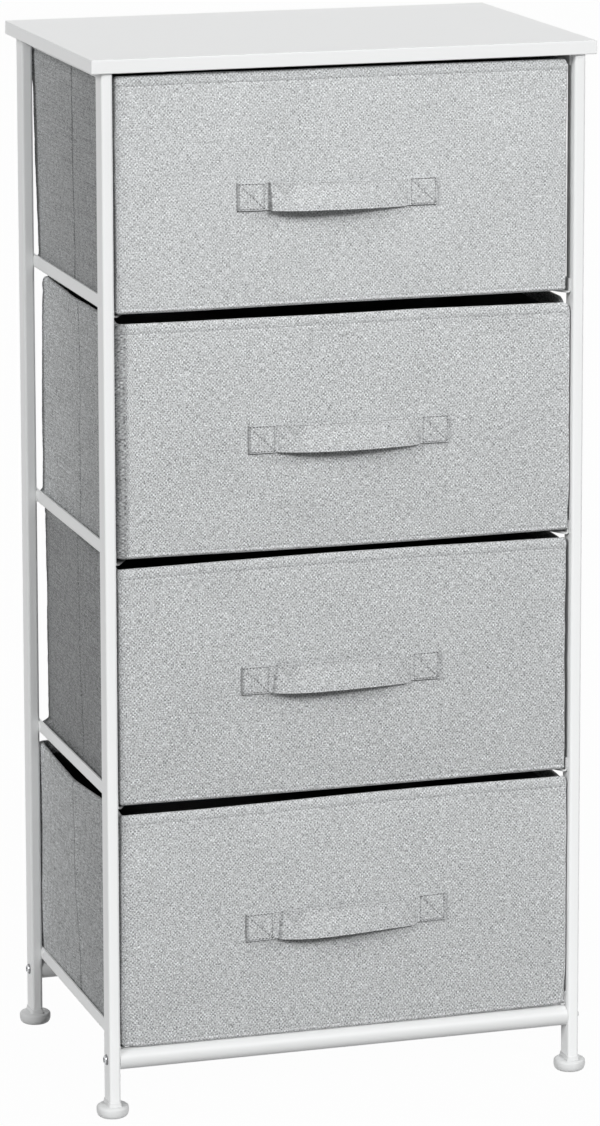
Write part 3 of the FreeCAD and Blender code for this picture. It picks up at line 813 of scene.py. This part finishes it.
def cover(number, material):
    floor, turn, wall, hem, inside = cover_rows()
    rows = floor + turn + wall + hem + inside
    made = loop_rows(number, rows)
    points, normals = made[..., :3].copy(), made[..., 3:]
    outer = slice(len(floor), len(floor) + len(turn) + len(wall))
    x, y, z = (points[outer, :, k] for k in range(3))
    below = HEIGHT[None] - z
    seam = np.broadcast_to(NEAREST_SEAM[:-1], z.shape)
    along = np.broadcast_to(ALONG[:-1], z.shape)
    on_end = smooth(abs(y), HALF_Y - 8, HALF_Y - 4)
    out = -0.45 * ridge(seam, 1.0) + 0.35 * ridge(seam - 2.4, 1.3) * on_end
    out += -0.42 * ridge(z - 4.6, 0.9) + 0.30 * ridge(z - 2.2, 1.2)
    hem_step = 0.22 * smooth(-below, -HEM_LINE + 0.4, -HEM_LINE + 2.2) * (1 - smooth(-below, -3.2, -2.4))
    out += (hem_step - 0.32 * ridge(below - HEM_LINE, 0.9)) * (0.3 + 0.7 * on_end)
    puck = np.sin(along * TURN / 7.3 + 1.7 * np.sin(along / 31.0)) + 0.6 * np.sin(along * TURN / 11.9 + 2.0)
    out += 0.10 * puck * ridge(below - HEM_LINE - 1.5, 5.0) + 0.11 * puck * ridge(z - 5.0, 4.0)
    puck_up = np.sin(z * TURN / 9.7 + np.sin(z / 17.0) * 1.5) + 0.7 * np.sin(z * TURN / 15.1 + 1.0)
    out += 0.12 * puck_up * ridge(seam + 1.5, 4.5)
    out += -0.8 * ridge(y, 1.5) * smooth(abs(x), HALF_X - 6, HALF_X - 3)
    local = np.stack([x, y, z], -1)
    out += 0.13 * BINS[number]["quilt"](local) * smooth(z, 3, 12) * smooth(below, 3, 14)
    out *= smooth(z, 0.0, 1.2)
    points[outer, :, :2] += normals[outer] * out[..., None]
    name = "drawer_%d_cover_cloth" % number
    mesh = grid_mesh(name, warp(number, points), True, bin_maps(rows, points, number))
    return link(mesh, name, material, "grey_linen_weave", "drawer_%d" % number, "drawer_%d_cover" % number)


def lining(number, material):
    deep = WALL - 0.8
    rows = [(10, "up", 1.05, f) for f in (1, 0.6, 0.2, 0)] + [(deep + 1.5, "up", 1.05, 0), (deep, "up", 3, 0)]
    rows += [(deep, "part", f, 0) for f in np.linspace(0, 1, 24)] + [(deep + 0.1, "down", 4.5, 0)]
    rows += [(WALL - 0.1, "down", 4.4, 0)] + [(WALL, "part", f, 0) for f in np.linspace(1, 0, 40)]
    rows += [(WALL + inset, "up", z, 0) for inset, z in ((0, 6), (0.4, 3.4), (1.6, 2.1), (4, 1.9))]
    rows += [(10, "up", 1.85, f) for f in (0, 0.2, 0.6, 1)]
    made = loop_rows(number, rows)
    points, normals = made[..., :3].copy(), made[..., 3:]
    facing = slice(32, len(rows) - 4)
    quilted = 0.14 * abs(BINS[number]["quilt"](points[facing])) * smooth(points[facing, :, 2], 4, 20)
    points[facing, :, :2] -= normals[facing] * quilted[..., None]
    weave = {"weave": bin_maps(rows, points, number)["weave"]}
    mesh = grid_mesh("drawer_%d_lining_cloth" % number, warp(number, points), True, weave)
    return link(mesh, "drawer_%d_lining_cloth" % number, material, "black_nonwoven",
                "drawer_%d" % number, "drawer_%d_lining" % number)


def box_verts(work, low, high):
    """Adds a box to a bmesh, from its lowest to its highest corner."""
    verts = bmesh.ops.create_cube(work, size=1.0)["verts"]
    for vert in verts:
        vert.co = [between(low[k], high[k], vert.co[k] + 0.5) for k in range(3)]
    return verts


def board_mesh(name, number, boxes, cell=12.0, bevel=0.4):
    """Cut boards inside the bin: finely divided boxes with broken edges, bent as the bin is."""
    work = bmesh.new()
    for low, high in boxes:
        counts = np.maximum(np.round(np.subtract(high, low) / (cell, cell, cell / 2)).astype(int), 1)
        before = set(work.verts)
        edges = {edge for vert in box_verts(work, low, high) for edge in vert.link_edges}
        bmesh.ops.bevel(work, geom=list(edges), offset=bevel, segments=2, affect="EDGES")
        for k in range(3):
            for step in range(1, counts[k]):
                facing = np.eye(3)[k]
                plane = facing * between(low[k], high[k], step / counts[k])
                fresh = [v for v in work.verts if v not in before]
                geom = (fresh + list({e for v in fresh for e in v.link_edges})
                        + list({f for v in fresh for f in v.link_faces}))
                bmesh.ops.bisect_plane(work, geom=geom, plane_co=plane, plane_no=facing, dist=1e-5)
    co = np.array([v.co for v in work.verts])
    for vert, place in zip(work.verts, warp(number, co) * MM):
        vert.co = place
    bmesh.ops.recalc_face_normals(work, faces=work.faces)
    return mesh_of(work, name)


def boards(number, card, base_card):
    bottom, inner, outer = 1.3, WALL - 1.05, 1.25
    body = "drawer_%d" % number
    half = HALF_X - 9.0
    for end, sign, top in (("front", -1, FRONT_HEIGHT - 2.2), ("back", 1, SIDE_HEIGHT - 2.2)):
        ys = sorted((sign * (HALF_Y - outer), sign * (HALF_Y - inner)))
        name = "%s_%s_board" % (body, end)
        mesh = board_mesh(name, number, [((-half, ys[0], bottom + 2), (half, ys[1], top))])
        link(mesh, name, card, "fibreboard", body, "%s_%s_stiffener" % (body, end))
    far = HALF_Y - 9.0
    boxes = []
    for sign in (-1, 1):
        xs = sorted((sign * (HALF_X - outer - 0.3), sign * (HALF_X - inner)))
        for ys in ((-far, -2.0), (2.0, far)):
            boxes.append(((xs[0], ys[0], bottom + 2), (xs[1], ys[1], SIDE_HEIGHT - 2.2)))
    mesh = board_mesh(body + "_side_boards", number, boxes)
    link(mesh, body + "_side_boards", card, "fibreboard", body, body + "_side_stiffeners")
    x, y = HALF_X - WALL - 2.4, HALF_Y - WALL - 2.4
    mesh = board_mesh(body + "_floor_board", number, [((-x, -y, 1.95), (x, y, 4.8))], cell=18, bevel=0.5)
    link(mesh, body + "_floor_board", base_card, "base_fibreboard", body, body + "_base_board")


# ---- Threads ---------------------------------------------------------------------------------
BEAD = [(-1.0, 0.25), (-0.72, 0.85), (0.72, 0.85), (1.0, 0.25)]


def beads(name, centres, along, outward, half_length, radius, place):
    """Short stitches: one bead of thread at each centre, lying along its line. place bends the points."""
    angle = np.arange(5) / 5 * TURN
    third = np.cross(along, outward)
    ends = np.array([[(a * half_length, r * radius * math.cos(t), r * radius * math.sin(t)) for t in angle]
                     for a, r in BEAD])
    points = (centres[:, None, None] + ends[None, ..., :1] * along[:, None, None]
              + ends[None, ..., 1:2] * outward[:, None, None] + ends[None, ..., 2:] * third[:, None, None])
    verts = place(points).reshape(-1, 3) * MM
    faces = []
    for r in range(3):
        for c in range(5):
            d = (c + 1) % 5
            faces.append((r * 5 + c, r * 5 + d, (r + 1) * 5 + d, (r + 1) * 5 + c))
    faces += [(4, 3, 2, 1, 0), (15, 16, 17, 18, 19)]
    every = [tuple(20 * k + i for i in face) for k in range(len(centres)) for face in faces]
    mesh = bpy.data.meshes.new(name)
    mesh.from_pydata(verts.tolist(), [], every)
    work = bmesh.new()
    work.from_mesh(mesh)
    smooth_faces(work)
    work.to_mesh(mesh)
    work.free()
    return mesh


def hem_threads(number, material):
    span = ALONG[-1] - ALONG[0]
    count = int(span // HEM_PITCH)
    places = ALONG[0] + (np.arange(count) + 0.5) * span / count
    points, normals = ring(0.16, radii_at(number, FRONT_HEIGHT - HEM_LINE))
    hem = np.concatenate([points, HEIGHT[:, None] - HEM_LINE], 1)

    def read(values, at):
        closed = np.concatenate([values, values[:1]])
        return np.stack([np.interp(at, ALONG, column) for column in closed.T], 1)

    def unit(vectors):
        return vectors / np.linalg.norm(vectors, axis=1)[:, None]

    centres = read(hem, places)
    along = unit(read(hem, places + 0.5) - centres)
    outward = unit(np.pad(read(normals, places), ((0, 0), (0, 1))))
    name = "drawer_%d_hem_stitches" % number
    mesh = beads(name, centres, along, outward, 1.25, 0.24, lambda p: warp(number, p))
    return link(mesh, name, material, "grey_linen_weave", "drawer_%d" % number)


# ---- Strap handles ---------------------------------------------------------------------------
def strap_lift(number, x, h):
    """How far the strap's inner face stands off the front wall, and how far it sags, at a place."""
    low, high, sag = BINS[number]["loop"]
    step, reach, fall = BINS[number]["spring"]
    root, lean = BINS[number]["bend"][:2]
    half = BINS[number]["strap"][2] / 2
    start = root - half + lean * (h / STRAP_HEIGHT - 0.5)
    span = half - PATCH - start

    def arch(t):
        t = np.clip(t, 0, 1)
        return (step * smooth(t * span, 0, 1.6) + (1 - step) * (1 - np.exp(-t / reach))) * (1 - t) ** fall
    t = np.clip((x - start) / span, 0, 1)
    share = arch(t) / arch(np.linspace(0, 1, 101)[:, None] + 0 * span).max()
    drop = sag * share + BINS[number]["jog"] * t ** 2 * (1 - smooth((t - 1) * span, -6, 0))
    return share * between(low, high, smooth(h / STRAP_HEIGHT, 0, 1)), drop


def strap_outer(number, x, h):
    """Height of the strap's outer face over the front wall."""
    half = BINS[number]["strap"][2] / 2
    lift, sag = strap_lift(number, x, h)
    patch = smooth(abs(x), half - PATCH - 0.6, half - PATCH + 1.6)
    thick = between(1.7 * PLY, 2.6 * PLY, patch)
    along = abs(x) - half + PATCH / 2
    up = h - STRAP_HEIGHT / 2
    box_line = np.maximum(abs(along), abs(up)) - PATCH_STITCH
    falling = (along * np.sign(x) + up) * 0.7
    rising = (along * np.sign(x) - up) * 0.7
    inside = np.maximum(abs(along), abs(up)) < PATCH_STITCH
    groove = np.maximum(0.40 * ridge(box_line, 0.8),
                        (0.42 * ridge(falling, 0.8) + 0.20 * ridge(rising, 0.8)) * inside)
    return lift + thick - groove * patch


def strap(number, material, stitching):
    bin_ = BINS[number]
    middle, rise, length, tilt = bin_["strap"]
    half = length / 2
    crease = bin_["bend"][0] - half
    low = STRAP_LOW + rise
    patch_from = half - PATCH
    stations = np.unique(np.round(np.concatenate([
        [-half, 0.3 - half], np.linspace(0.8 - half, crease - 4, 30),
        np.arange(crease - 3.5, crease + 5, 0.45), np.linspace(crease + 6, patch_from - 3, 64),
        np.linspace(patch_from - 2.4, patch_from + 2, 9), np.linspace(patch_from + 2.8, half - 0.8, 32),
        [half - 0.3, half]]), 3))
    across = np.linspace(0.5, STRAP_HEIGHT - 0.5, 34)
    roll = np.linspace(0, math.pi, 7)[1:-1]
    rows, weave_rows, seam_rows = [], [], []
    dice = ripple(900 + number, (14, 50), 8)
    for x in stations:
        end = 0.45 if abs(x) > half - 0.1 else (0.85 if abs(x) > half - 0.4 else 1.0)
        outer = strap_outer(number, x, across)
        lift, sag = strap_lift(number, x, across)
        inner = lift + 0.06
        outer = between(inner, outer, end)
        wave = 0.10 * dice(np.stack([np.full_like(across, x), across, 0 * across], -1))
        outer = outer + wave * smooth(abs(x), half, half - 6)
        drop = float(sag.mean()) - tilt * x / length
        face = [(x, o, h) for o, h in zip(outer, across)]
        top_mid, top_r = (outer[-1] + inner[-1]) / 2, (outer[-1] - inner[-1]) / 2
        low_mid, low_r = (outer[0] + inner[0]) / 2, (outer[0] - inner[0]) / 2
        top = [(x, top_mid + top_r * math.cos(a), across[-1] + 0.5 * math.sin(a)) for a in roll]
        back = [(x, i, h) for i, h in zip(inner[::-3], across[::-3])]
        bottom = [(x, low_mid - low_r * math.cos(a), across[0] - 0.5 * math.sin(a)) for a in roll]
        loop = np.array(face + top + back + bottom)
        loop[:, 2] -= drop
        rows.append(loop)
        closed = np.concatenate([loop, loop[:1]])
        edge = np.concatenate([[0], np.cumsum(np.linalg.norm(np.diff(closed[:, 1:], axis=0), axis=1))])
        weave_rows.append(np.stack([np.full(len(edge), x + STRAP_MIDDLE / MM), edge + 300.0], 1))
        place = np.arange(len(edge))
        off_face = np.where(place < len(loop) - len(bottom), 40.0, -40.0)
        up = np.where(place < len(face), closed[:, 2] + drop - STRAP_HEIGHT / 2, off_face)
        seam_rows.append(np.stack([np.full(len(edge), abs(x) - half + PATCH / 2), up], 1))
    rows = np.array(rows)
    placed = np.stack([rows[..., 0] + middle, -HALF_Y - rows[..., 1], rows[..., 2] + low], -1)
    body = "drawer_%d" % number
    name = body + "_strap"
    maps = {"weave": np.array(weave_rows), "seam": np.array(seam_rows)}
    mesh = grid_mesh(name, warp(number, placed), True, maps, capped=True)
    link(mesh, name, material, "grey_linen_strap", body, body + "_strap_handle")

    s = PATCH_STITCH
    lines = [((-s, -s), (s, -s)), ((s, -s), (s, s)), ((s, s), (-s, s)), ((-s, s), (-s, -s)),
             ((-s, -s), (s, s)), ((-s, s), (s, -s))]
    centres, along = [], []
    for side in (-1, 1):
        centre_x = side * (half - PATCH / 2)
        for (ax, az), (bx, bz) in lines:
            run = math.hypot(bx - ax, bz - az)
            count = int(run // PATCH_PITCH)
            for k in range(count):
                t = (k + 0.5) / count
                centres.append((centre_x + between(ax, bx, t), between(az, bz, t)))
                along.append(((bx - ax) / run, 0, (bz - az) / run))
    centres = np.array(centres)
    out = strap_outer(number, centres[:, 0], centres[:, 1] + STRAP_HEIGHT / 2)
    spots = np.stack([centres[:, 0] + middle, -HALF_Y - out - 0.05,
                      centres[:, 1] + STRAP_HEIGHT / 2 + low + tilt * centres[:, 0] / length], 1)
    outward = np.broadcast_to(np.array([0.0, -1.0, 0.0]), spots.shape)
    mesh = beads(name + "_stitches", spots, np.array(along), outward, 1.05, 0.24, lambda p: warp(number, p))
    link(mesh, name + "_stitches", stitching, "grey_linen_strap", body)


# ---- Frame -----------------------------------------------------------------------------------
POST_HALF_X = 5.0
POST_HALF_Y = 10.0


def top_board(material):
    low, high = node_box("top_board")
    work = bmesh.new()
    box_verts(work, low * MM, high * MM)
    bmesh.ops.bevel(work, geom=list(work.edges), offset=0.9 * MM, segments=4, profile=0.5, affect="EDGES")
    return link(mesh_of(work, "top_panel"), "top_panel", material, "white_laminate", BODY_OF_FRAME,
                "top_board")


def bar_rows(x, y, corner, levels):
    """Rows of points up a bar about a post's end: at each (z, margin), the post's outline grown by it.

    corner holds the steps round one corner, as shares of the half sizes."""
    quarters = [(-1, -1, corner), (1, -1, corner[::-1]), (1, 1, corner), (-1, 1, corner[::-1])]
    return np.array([[(x + qx * cx * (POST_HALF_X + margin), y + qy * cy * (POST_HALF_Y + margin), z)
                      for qx, qy, steps in quarters for cx, cy in steps] for z, margin in levels])


def glides(material):
    post_low, post_high = node_box("post_front_right")
    x, y = (post_low[0] + post_high[0]) / 2, (post_low[1] + post_high[1]) / 2
    profile = [(0.01, 0.0), (10.4, 0.0), (11.5, 0.2), (12.4, 0.75), (13.1, 1.6), (13.6, 2.7), (13.95, 4.0),
               (14.1, 5.2), (14.15, 6.4), (14.12, 7.5), (14.0, 8.3), (13.8, 8.75), (13.45, 9.25),
               (12.9, 9.7), (12.1, 10.1), (11.0, 10.4), (9.6, 10.6), (6.0, 10.75), (0.01, 10.8)]
    collar = [(10.4, 1.2), (10.8, 0.75), (11.3, 0.5), (13.5, 0.4), (14.0, 0.1)]
    rib = [(0.0, -1.9), (2.9, -1.9), (3.3, -1.25), (4.2, -1.25), (4.5, -1.9)]
    parts = []
    for sx in (-1, 1):
        for sy in (-1, 1):
            place = (sx * abs(x), sy * abs(y))
            parts.append(revolve(profile, place + (0,), (0, 0, 1), (1, 0, 0), 64))
            parts.append(bar_rows(*place, [(1, 0.88), (0.94, 0.96), (0.76, 1)], collar))
            for level in range(4):
                parts.append(bar_rows(*place, [(1, 0.9), (0.8, 1)],
                                      [(14.0 + level * 4.5 + dz, margin) for dz, margin in rib]))
    return link(joined("glide_feet", parts), "glide_feet", material, "white_plastic", BODY_OF_FRAME, "glides")


def crossbar_screws(material):
    low, high = node_box("crossbar_screws")
    z = (low[2] + high[2]) / 2
    reach_y = high[1] - (high[2] - low[2]) / 2
    profile = [(0.01, -1.8), (2.3, -1.8), (2.35, -0.12), (2.75, -0.02), (3.3, -0.25), (3.9, -0.75),
               (4.4, -1.5), (4.68, -2.3), (4.75, -2.75), (4.72, -3.0), (3.0, -3.0), (3.0, -18.2),
               (2.4, -19.0), (0.01, -19.0)]
    face = [(radius, high[0] + depth) for radius, depth in profile]
    parts = [revolve(face, (0, sy * reach_y, z), (sx, 0, 0), (0, 0, 1), 48, hexagonal=3)
             for sx in (-1, 1) for sy in (-1, 1)]
    return link(joined("crossbar_screw_set", parts), "crossbar_screw_set", material, "zinc_steel",
                BODY_OF_FRAME, "crossbar_screws")


def weld_beads(material):
    """Small painted welds in the corners between the rails and the posts."""
    dice = np.random.default_rng(5)
    post_low, post_high = node_box("post_front_right")
    inner_x, near_y = post_low[0], abs(post_high[1])
    parts = []
    for level in range(1, 5):
        low, high = node_box("drawer_rail_right_%d" % level)
        for sx in (-1, 1):
            for sy in (-1, 1):
                heights = np.linspace(low[2] + 1.6, high[2] - 0.6, 15)
                bead = dice.uniform(0.8, 1.25, 15) * np.sin(np.linspace(0.25, math.pi - 0.25, 15)) ** 0.5
                drift = dice.uniform(-0.25, 0.25, 15)
                angle = np.arange(10) / 10 * TURN
                rows = [[(sx * (inner_x + 0.25 + r * 0.9 * math.cos(a)),
                          sy * (near_y - 0.25 + d + r * 1.25 * math.sin(a)), h) for a in angle]
                        for h, r, d in zip(heights, bead, drift)]
                parts.append(np.array(rows))
    mesh = joined("rail_welds", parts)
    return link(mesh, "rail_welds", material, "white_powder_coat", BODY_OF_FRAME)


# ---- Dressing the model ----------------------------------------------------------------------
PAINT = linear(241, 242, 242)
# The crossbars' powder coat is darkened as painted shade, so that their tops, which face the lamps, don't
# clip.
SHADED_TUBE_PAINT = linear(226, 227, 227)
paint = coated("white_powder_coat", PAINT, 0.42, 0.30)
shaded_tube_paint = coated("white_powder_coat_shaded_on_tube", SHADED_TUBE_PAINT, 0.42, 0.30)
# The left rails' shelves are darkened more, as painted shade.
left_rail_paint = coated("white_powder_coat_on_left_rails", PAINT, 0.42, 0.30, rub_and_shade=0.72)
right_rail_paint = coated("white_powder_coat_on_right_rails", PAINT, 0.42, 0.30, rub_and_shade=0.25)
plastic = coated("white_moulding", linear(223, 224, 224), 0.48, 0.18)
board_skin = laminate("white_melamine", linear(240, 241, 241))
steel = zinc("bright_zinc", (0.62, 0.63, 0.645))
cotton = thread("grey_thread", linear(186, 188, 190))
black_cloth = nonwoven("black_lining", (0.055, 0.055, 0.057))
card = fibreboard("brown_board", (0.42, 0.31, 0.21))
black_card = fibreboard("black_board", (0.03, 0.03, 0.03))

by_slot = {"white_powder_coat": paint, "zinc_steel": steel, "white_laminate": board_skin,
           "white_plastic": plastic, "grey_linen_weave": card, "grey_linen_strap": card,
           "black_nonwoven": black_card, "fibreboard": card, "base_fibreboard": black_card}
slot_of = {part["node"]: part["material_slot"] for part in frame["record"]["subparts"]}
for node, carried in frame["nodes"].items():
    carried.data.materials.clear()
    skin = by_slot[slot_of[node]]
    if node in ("crossbar_front", "crossbar_rear"):
        skin = shaded_tube_paint
    if node.startswith("drawer_rail_"):
        skin = left_rail_paint if "_left_" in node else right_rail_paint
    carried.data.materials.append(skin)

top_board(board_skin)
glides(plastic)
crossbar_screws(steel)
weld_beads(paint)
for number, sits in BINS.items():
    cloth = cover_linen(number, sits)
    strap_cloth = strap_linen(number, sits)
    cover(number, cloth)
    lining(number, black_cloth)
    boards(number, card, black_card)
    hem_threads(number, cotton)
    strap(number, strap_cloth, cotton)

# ---- Floor, light and camera -----------------------------------------------------------------
FLOOR_REACH = 9.0
FLOOR_GREY = (0.40, 0.40, 0.40, 1)
FLOOR_GLOW = 0.98
WORLD_LIGHT = 0.15
WHITE = (1, 1, 1, 1)


def seen_by(nodes, *rays):
    """1 for the named kinds of ray and 0 for the rest."""
    paths = nodes.add("LightPath").outputs
    share = Signal(nodes, paths[rays[0]])
    for ray in rays[1:]:
        share = share.op("MAXIMUM", Signal(nodes, paths[ray]))
    return share


floor_mesh = bpy.data.meshes.new("studio_floor")
floor_mesh.from_pydata([(sx * FLOOR_REACH, sy * FLOOR_REACH, 0)
                        for sx, sy in ((-1, -1), (1, -1), (1, 1), (-1, 1))], [], [(0, 1, 2, 3)])
studio_floor = bpy.data.objects.new("studio_floor", floor_mesh)
bpy.context.scene.collection.objects.link(studio_floor)

paper = bpy.data.materials.new("pale_paper")
nodes = Nodes(paper)
nodes.add("OutputMaterial", {0: nodes.out("MixShader", {
    0: seen_by(nodes, "Is Camera Ray", "Is Glossy Ray") * FLOOR_GLOW,
    1: nodes.out("BsdfDiffuse", {"Color": FLOOR_GREY}),
    2: nodes.out("Emission", {"Strength": 1.0})})})
floor_mesh.materials.append(paper)

world = bpy.data.worlds.new("studio")
bpy.context.scene.world = world
nodes = Nodes(world)
nodes.add("OutputWorld", {0: nodes.out("MixShader", {
    0: seen_by(nodes, "Is Camera Ray", "Is Glossy Ray", "Is Transmission Ray"),
    1: nodes.out("Background", {"Color": WHITE, "Strength": WORLD_LIGHT}),
    2: nodes.out("Background", {"Color": WHITE})})})

SUNS = {"key": ((0.25, -0.8436, 0.475), 1.94, 12),
        "fill": ((-0.7653, -0.4554, 0.4554), 1.58, 24),
        "back": ((0.25, 0.65, 0.72), 0.45, 30)}  # where each comes from, its strength, its spread in degrees
for lamp_name, (comes_from, energy, spread) in SUNS.items():
    sun = bpy.data.lights.new(lamp_name, "SUN")
    sun.energy = energy
    sun.angle = math.radians(spread)
    lamp = bpy.data.objects.new(lamp_name, sun)
    lamp.rotation_mode = "QUATERNION"
    lamp.rotation_quaternion = Vector(comes_from).to_track_quat("Z", "Y")
    bpy.context.scene.collection.objects.link(lamp)

CAMERA_PLACE = (-1.29487, -4.20631, 1.45330)
CAMERA_YAW = 0.29931
CAMERA_DOWN = 0.17278
CAMERA_ROLL = -0.00211
FOCAL_PIXELS = 5056.7
IMAGE_HEIGHT = 1126
HORIZON_SHIFT = -263 / IMAGE_HEIGHT
lens = bpy.data.cameras.new("camera")
lens.sensor_width = 36.0
lens.lens = FOCAL_PIXELS / IMAGE_HEIGHT * lens.sensor_width
lens.shift_y = HORIZON_SHIFT
camera = bpy.data.objects.new("camera", lens)
camera.location = CAMERA_PLACE
yaw, pitch, roll = (Matrix.Rotation(angle, 4, axis) for angle, axis in (
    (-CAMERA_YAW, "Z"), (math.pi / 2 - CAMERA_DOWN, "X"), (CAMERA_ROLL, "Z")))
camera.rotation_mode = "QUATERNION"
camera.rotation_quaternion = (yaw @ pitch @ roll).to_quaternion()
bpy.context.scene.collection.objects.link(camera)
bpy.context.scene.camera = camera
bpy.context.scene.view_settings.view_transform = "Standard"

bpy.context.view_layer.update()
